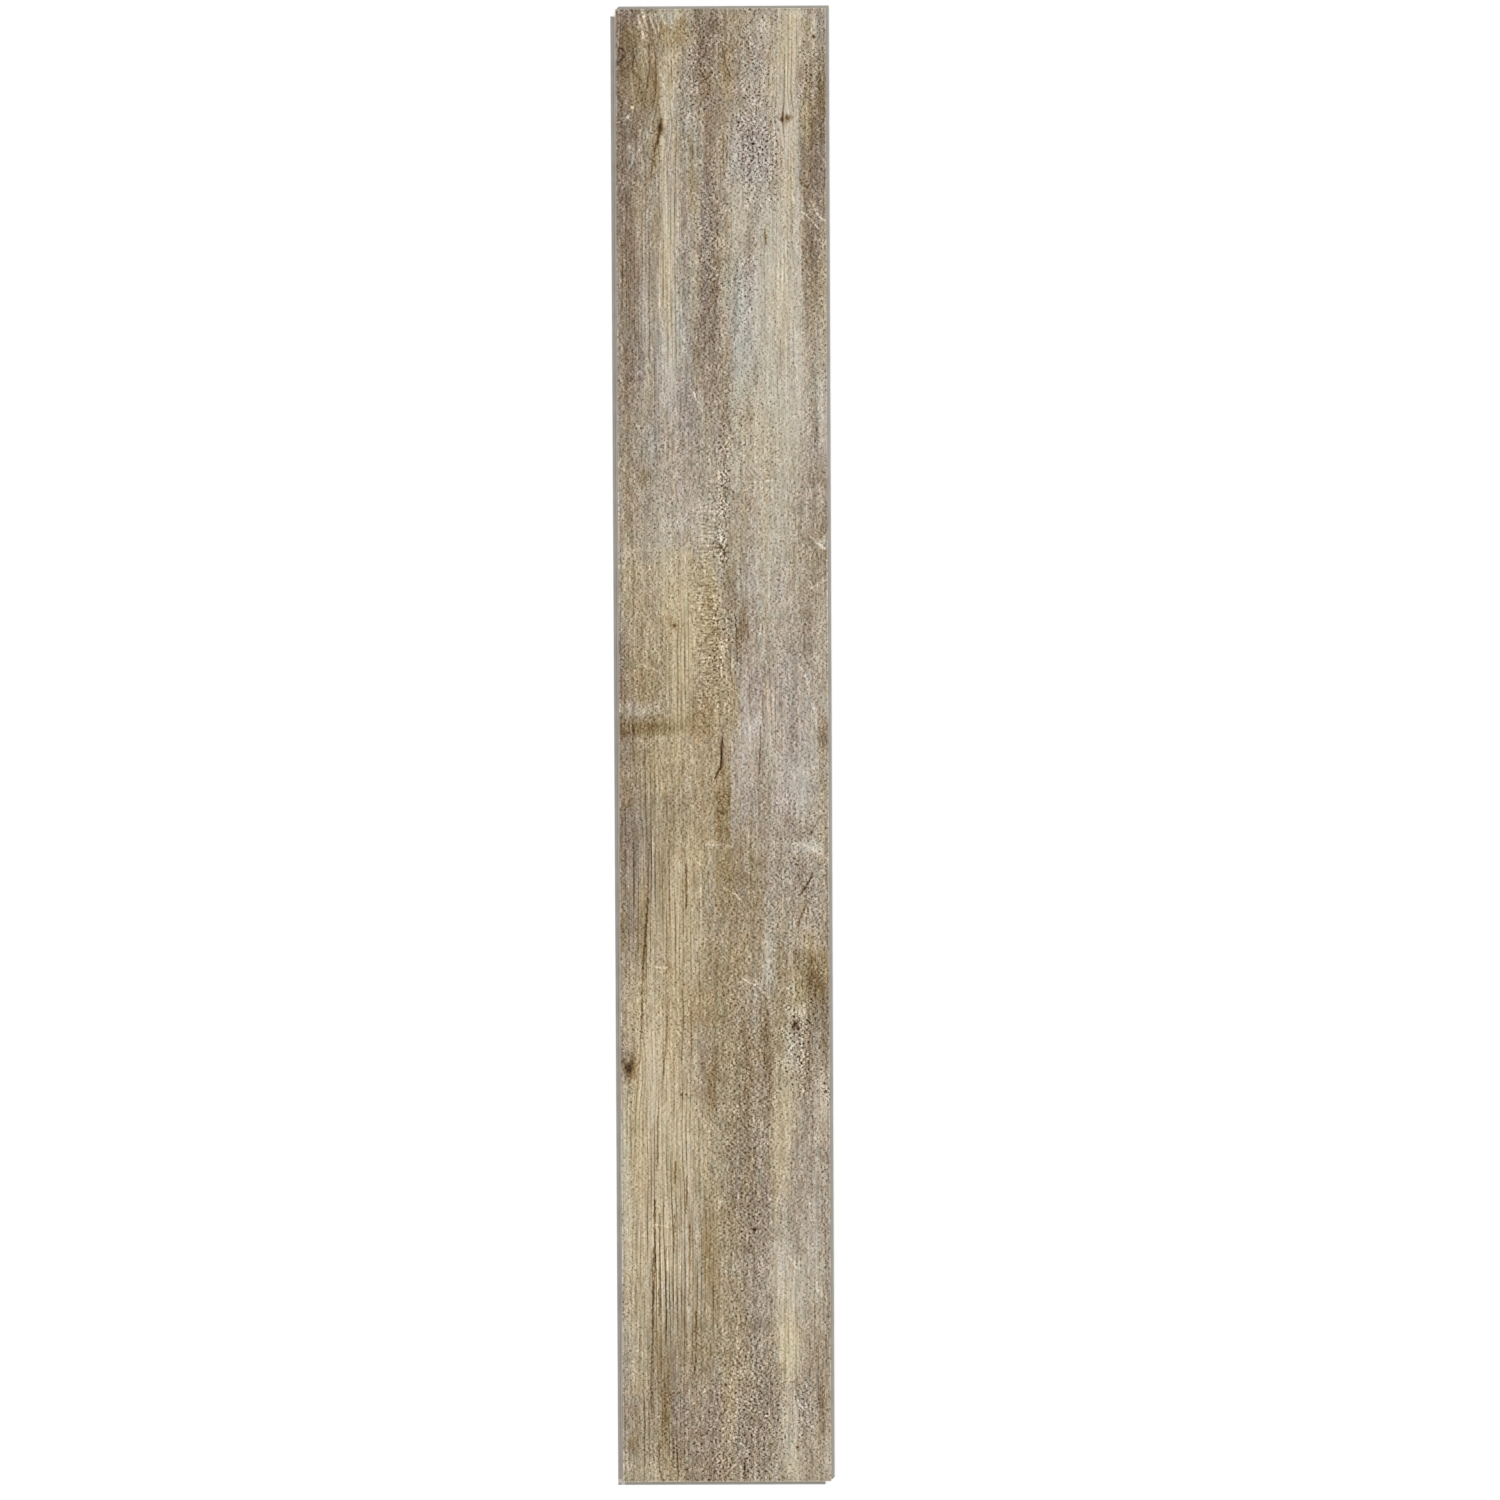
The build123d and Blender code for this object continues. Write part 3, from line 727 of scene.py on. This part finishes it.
def face_place(g):
    """Millimetres from the face's top left corner, as the camera sees it."""
    place = g.node("ShaderNodeTexCoord").outputs["Object"]
    scaled = g.vector("MULTIPLY", place, (1 / MM, -1 / MM, 0.0))
    return g.vector("ADD", scaled, (-face_low.x / MM, face_high.y / MM, 0.0))


def flow_round_knots(g, place):
    """Bends place so that the grain parts round each knot."""
    for x, y, half_width, half_length, bend in KNOTS:
        away = g.vector("SUBTRACT", place, (x, y, 0))
        scaled = g.vector("MULTIPLY", away, (1 / half_width, 1 / half_length, 0))
        nearness = g.math("EXPONENT", g.product(g.vector("DOT_PRODUCT", scaled, scaled), -1.0))
        sideways = g.product(g.split(away)["X"], nearness, -bend)
        place = g.vector("ADD", place, g.node("ShaderNodeCombineXYZ", {"X": sideways}).outputs[0])
    return place


# Growth lines: how far apart they are and how far they sway, in millimetres, how wide they are
# as a share of their spacing, and the noise that breaks them
RING_SPACING = 3.4
RING_SWAY = 6.5
RING_SWAY_CELL = (22, 170)
RING_FADE = (0.22, 0.05)
RING_BREAK_CELL = (5.0, 100)
RING_BREAKS = (-0.12, 0.12)


def ring_lines(g, place):
    """Thin dark growth lines down the length, broken into uneven dashes."""
    sway = g.product(g.noise(place, *RING_SWAY_CELL, shift=33), RING_SWAY)
    phase = g.math("DIVIDE", g.math("ADD", g.split(place)["X"], sway), RING_SPACING)
    off_line = g.math("ABSOLUTE", g.math("SUBTRACT", g.math("FRACT", phase), 0.5))
    breaks = g.noise(place, *RING_BREAK_CELL, detail=1.5, roughness=0.6, shift=40)
    return g.product(g.smooth(off_line, *RING_FADE), g.smooth(breaks, *RING_BREAKS))


# The face's edge: the painted highlight on the bevel and the painted shade line just inside
# it, and how far in from the edge each of them comes and goes
BEVEL_HIGHLIGHT = 0.10
RIM_FADE = (0.9, 0.4)
RIM_SHADE = 0.03
SHADE_START = (0.8, 1.4)
SHADE_END = (3.2, 1.8)


def edge_highlight_and_shade(g, place):
    """Painted highlight, paler along the bevel, and painted shade, a little darker just inside it."""
    x, y, _ = g.split(place)
    from_side = g.math("MINIMUM", x, g.math("SUBTRACT", FACE_W, x))
    from_end = g.math("MINIMUM", y, g.math("SUBTRACT", FACE_L, y))
    inset = g.math("MINIMUM", from_side, from_end)
    rim = g.smooth(inset, *RIM_FADE, 0.0, BEVEL_HIGHLIGHT)
    line = g.product(g.smooth(inset, *SHADE_START), g.smooth(inset, *SHADE_END, 0.0, -RIM_SHADE))
    return g.math("ADD", rim, line)


# Stained wood counts as dark below the first of these and as pale above the second. In dark
# wood and in pale wood: how dark the pores are, how light the flecks are, and what is added to
# keep the mean
WOOD_TONES = (-0.06, 0.06)
PORE_DARK = (0.46, 0.60)
FLECK_LIGHT = (0.25, 0.11)
SPECKLE_LIFT = (0.04, 0.095)

# The grain noise makes pores below these heights and flecks above those, and the speckle is
# this strong in plain wood, in the speckled belts on top of that, and in clusters.
GRAIN_CELL = (1.5, 1.8)
GRAIN_CURL = 0.6
PORE_HEIGHTS = (-0.055, -0.18)
FLECK_HEIGHTS = (0.02, 0.20)
SPECKLE_PLAIN = 0.42
SPECKLE_BELTS = 0.58
SPECKLE_CLUSTERS = 1.8


def speckle(g, place, light, speckled, calm, mottle):
    """Dark pores and pale flecks."""
    grain = g.crisp(place, *GRAIN_CELL, detail=1, curl=GRAIN_CURL)
    pore_dark, fleck_light, lift = (
        g.smooth(light, *WOOD_TONES, *amount) for amount in (PORE_DARK, FLECK_LIGHT, SPECKLE_LIFT)
    )
    pores = g.product(g.smooth(grain, *PORE_HEIGHTS), pore_dark)
    flecks = g.product(g.smooth(grain, *FLECK_HEIGHTS), fleck_light)
    clusters = g.total(g.product(mottle, SPECKLE_CLUSTERS), 1.0)
    coarse = g.total(g.product(speckled, SPECKLE_BELTS), SPECKLE_PLAIN)
    return g.product(g.total(g.math("SUBTRACT", flecks, pores), lift), coarse, calm, clusters)


# How far red stands over green and green over blue, from 0 to 1: grey weathered wood is the
# coolest, bare wood the warmest, and dark wood is redder than pale wood.
RED_BASE = 0.0245
RED_WITH_YELLOW = 0.35
RED_IN_DARK = 0.07
COOL_YELLOW = 0.040
WARM_YELLOW = 0.141
WARMTH_RANGE = (-0.1, 1.1)
GREEN_CAST = 0.020

# Yellow and red come and go in blotches of these sizes, and cracks and knots are warmer and
# redder than the wood round them.
HUE_CELL = (6, 14)
HUE_SWAY = 0.3
BLUSH_CELL = (5, 10)
BLUSH_SWAY = 1.8
MARK_WARMTH = 0.3
MARK_RED = 0.4


def wood_colour(g, place, tone, stain, knotted, ring_warmth):
    """The shader's colour for this tone of wood, from its stain and its marks."""
    light, warm, green = stain
    hue = g.product(g.noise(place, *HUE_CELL, detail=0.5, shift=24), HUE_SWAY)
    blush = g.product(g.noise(place, *BLUSH_CELL, detail=0, shift=28), BLUSH_SWAY)
    warmth = g.total(warm, MEAN_WARM, ring_warmth, hue, g.product(knotted, MARK_WARMTH))
    yellow = g.smooth(warmth, *WARMTH_RANGE, COOL_YELLOW, WARM_YELLOW)
    reddening = g.product(g.total(light, g.product(knotted, -MARK_RED)), -RED_IN_DARK)
    cast = g.product(g.total(green, blush), -GREEN_CAST)
    red_over = g.total(g.product(yellow, RED_WITH_YELLOW), RED_BASE, reddening, cast)
    return screen_mix(g, tone, red_over, yellow)


# Pale wood and cleanly lined wood are smoother: where that starts and is whole, and how much
# of the texture is left
CALM_LIGHT = (0.03, 0.12, 1.0, 0.62)
CALM_LINED = (0.1, 0.9, 1.0, 0.6)

# Cells and strengths of the other textures
MOTTLE_CELL = (6, 13)
MOTTLE = 0.25
LINE_CELL = (1.4, 60)
LINES = 0.46
LINES_PLAIN = 0.40
LINES_LINED = 0.5
DASH_CELL = (1.35, 4.8)
DASHES = 0.33
SCRIBE_CELL = (6, 1.6)
SCRIBES = 0.55
RING_DARK = 0.30
RING_LIFT = 0.20
RING_WARMTH = 0.12
MARK_DARK = 0.36
MARK_LIGHT = 0.30

# The print's finish: its fine relief, in metres, and its sheen in dark and in pale tones
PRINT_BUMP = 0.00012
PRINT_SPECULAR = 0.3
SHEEN_TONES = (0.3, 0.8)
PRINT_ROUGHNESS = (0.62, 0.52)


def decor_material():
    """The weathered wood print: stains from the mesh, and grain, speckle and marks drawn here."""
    material, g = new_material("weathered_print")
    place = face_place(g)
    stain = g.attribute("stain")
    light = stain[0]
    lined, speckled, scribed = g.attribute("texture")

    calm = g.product(g.smooth(light, *CALM_LIGHT), g.smooth(lined, *CALM_LINED))
    mottle = g.noise(place, *MOTTLE_CELL, detail=3, roughness=0.6, shift=2)
    flowing = flow_round_knots(g, place)
    fine_lines = g.crisp(flowing, *LINE_CELL, roughness=0.6, shift=8)
    dashes = g.crisp(flowing, *DASH_CELL, roughness=0.55, shift=16)
    scribes = g.noise(place, *SCRIBE_CELL, detail=1, shift=20)
    rings = ring_lines(g, flowing)
    knotted, glaring = drawn_marks(g, place)

    # The finest textures are in the relief too.
    relief_height = g.total(
        speckle(g, place, light, speckled, calm, mottle),
        g.product(fine_lines, g.total(g.product(lined, LINES_LINED), LINES_PLAIN), LINES),
        g.product(dashes, calm, DASHES),
        g.product(scribes, scribed, SCRIBES),
    )
    tone = g.total(
        light,
        MEAN_LIGHT,
        relief_height,
        g.product(g.math("SUBTRACT", RING_LIFT, rings), lined, RING_DARK),
        g.product(mottle, calm, MOTTLE),
        # Painted highlight along the bevel and painted shade just inside it
        edge_highlight_and_shade(g, place),
        g.product(knotted, -MARK_DARK),
        g.product(glaring, MARK_LIGHT),
    )
    colour = wood_colour(g, place, tone, stain, knotted, g.product(rings, lined, RING_WARMTH))
    roughness = g.smooth(tone, *SHEEN_TONES, *PRINT_ROUGHNESS)
    g.finish(colour, roughness, relief_height, PRINT_BUMP, PRINT_SPECULAR)
    return material


# The core's tone, and how far red stands over green and green over blue
CORE_LIGHT = 0.59
CORE_RED = 0.020
CORE_YELLOW = 0.034

# Painted light: the milled slot floors and the tongues are painted paler than the beads.
# Between which heights, in millimetres, each of them fades in, and by how much
FLOOR_HEIGHTS = (1.4, 1.1)
FLOOR_PAINTED_LIGHT = 0.14
TONGUE_HEIGHTS = (1.9, 2.5)
TONGUE_PAINTED_LIGHT = 0.04

# The core's speckle: fine grains and wide clouds, in noise cells a millimetre, and its finish
GRAINS_SCALE = 1.4
GRAINS_SWAY = 0.12
CLOUDS_SCALE = 0.06
CLOUDS_SWAY = 0.10
CORE_ROUGHNESS = 0.6
CORE_BUMP = 0.00003
CORE_SPECULAR = 0.35


def core_material():
    """Grey rigid vinyl composite: fine mineral speckle, with painted light on the low slot floors and the
    tongues.
    """
    material, g = new_material("grey_core")
    place = g.vector("MULTIPLY", g.node("ShaderNodeTexCoord").outputs["Object"], (1 / MM, 1 / MM, 1 / MM))
    fine = {"Vector": place, "Scale": GRAINS_SCALE, "Detail": 3.0, "Roughness": 0.6}
    wide = {"Vector": place, "Scale": CLOUDS_SCALE, "Detail": 2.0}
    grains, clouds = (g.node("ShaderNodeTexNoise", values).outputs["Fac"] for values in (fine, wide))
    height = g.split(place)["Z"]
    tone = g.total(
        CORE_LIGHT,
        # Painted light: the low slot floors and the tongues are painted paler
        g.smooth(height, *FLOOR_HEIGHTS, 0.0, FLOOR_PAINTED_LIGHT),
        g.smooth(height, *TONGUE_HEIGHTS, 0.0, TONGUE_PAINTED_LIGHT),
        g.product(g.math("SUBTRACT", grains, 0.5), GRAINS_SWAY),
        g.product(g.math("SUBTRACT", clouds, 0.5), CLOUDS_SWAY),
    )
    colour = screen_mix(g, tone, CORE_RED, CORE_YELLOW)
    g.finish(colour, CORE_ROUGHNESS, grains, CORE_BUMP, CORE_SPECULAR)
    return material


def add_object(name, data):
    """A new object in the scene."""
    made = bpy.data.objects.new(name, data)
    bpy.context.scene.collection.objects.link(made)
    return made


def dress():
    """Puts the materials on and swaps the plain face for the embossed one."""
    face = add_object("decor_surface", face_mesh())
    face.data.materials.append(decor_material())
    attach(face, "root")
    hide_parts("decor_face")
    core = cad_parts["core_board"]
    material = core_material()
    for holder in core.material_slots:
        holder.material = material


# The camera looks straight down, tipped and turned a little as in the photograph. Metres.
CAMERA_DISTANCE = 3.0
VIEW_WIDTH = 1.2613
SENSOR_WIDTH = 36.0
AIM = Vector((0.022, -0.0013, 0.005))
TIP = math.radians(1.34)
LEAN = math.radians(0.39)
TURN = math.radians(0.25)


def add_camera():
    """Looks at the plank from above, with the top end up."""
    camera = add_object("camera", bpy.data.cameras.new("camera"))
    camera.data.sensor_width = SENSOR_WIDTH
    camera.data.lens = SENSOR_WIDTH * CAMERA_DISTANCE / VIEW_WIDTH
    back = Vector((math.tan(LEAN), math.tan(TIP), 1)).normalized()
    right = Vector((math.cos(TURN), -math.sin(TURN), 0))
    right = (right - back * right.dot(back)).normalized()
    up = back.cross(right)
    turned = Matrix((right, up, back)).transposed().to_4x4()
    camera.matrix_world = Matrix.Translation(AIM + back * CAMERA_DISTANCE) @ turned
    bpy.context.scene.camera = camera


# The floor reaches this far each way, in metres. Its paint keeps the shadow, and its glow makes
# it white to the camera.
FLOOR_HALF = 4.0
FLOOR_PAINT = 0.8
FLOOR_GLOW = 0.32


def seen_rays(g):
    """1 for rays that show a surface to the camera, straight on, mirrored or through glass."""
    rays = g.node("ShaderNodeLightPath").outputs
    return g.chain("MAXIMUM", *(rays[f"Is {kind} Ray"] for kind in ("Camera", "Glossy", "Transmission")))


def add_floor():
    """A plain pale floor that keeps the shadow and is white to the camera elsewhere."""
    mesh = bpy.data.meshes.new("floor")
    corners = [(x * FLOOR_HALF, y * FLOOR_HALF, 0) for x, y in ((-1, -1), (1, -1), (1, 1), (-1, 1))]
    mesh.from_pydata(corners, [], [(0, 1, 2, 3)])
    floor = add_object("floor", mesh)
    material, g = new_material("floor_paint")
    paint = g.node("ShaderNodeBsdfDiffuse", {"Color": (FLOOR_PAINT, FLOOR_PAINT, FLOOR_PAINT, 1)})
    glow = g.product(seen_rays(g), FLOOR_GLOW)
    shine = g.node("ShaderNodeEmission", {"Color": (1, 1, 1, 1), "Strength": glow})
    both = g.node("ShaderNodeAddShader", {0: paint.outputs[0], 1: shine.outputs[0]})
    g.node("ShaderNodeOutputMaterial", {"Surface": both.outputs[0]})
    mesh.materials.append(material)


# A white surround, which the camera sees at full strength, and a large lamp. Metres, watts.
WORLD_LIGHT = 0.70
KEY_PLACE = Vector((0.6, 0.2, 4.4))
KEY_SIZE = 2.4
KEY_WATTS = 62.0


def add_light():
    """A soft even studio: a white surround and one large lamp nearly overhead."""
    world = bpy.data.worlds.new("studio")
    bpy.context.scene.world = world
    world.use_nodes = True
    g = Graph(world.node_tree)
    seen = g.node("ShaderNodeLightPath").outputs["Is Camera Ray"]
    strength = g.node("ShaderNodeMapRange", {"Value": seen, "To Min": WORLD_LIGHT, "To Max": 1.0})
    values = {"Color": (1, 1, 1, 1), "Strength": strength.outputs["Result"]}
    backdrop = g.node("ShaderNodeBackground", values)
    g.node("ShaderNodeOutputWorld", {"Surface": backdrop.outputs["Background"]})
    lamp = bpy.data.lights.new("key", "AREA")
    lamp.shape = "SQUARE"
    lamp.size = KEY_SIZE
    lamp.energy = KEY_WATTS
    key = add_object("key", lamp)
    key.location = KEY_PLACE
    key.rotation_euler = (-KEY_PLACE).to_track_quat("-Z", "Y").to_euler()


bpy.context.scene.view_settings.view_transform = "Standard"
add_camera()
add_floor()
add_light()
dress()
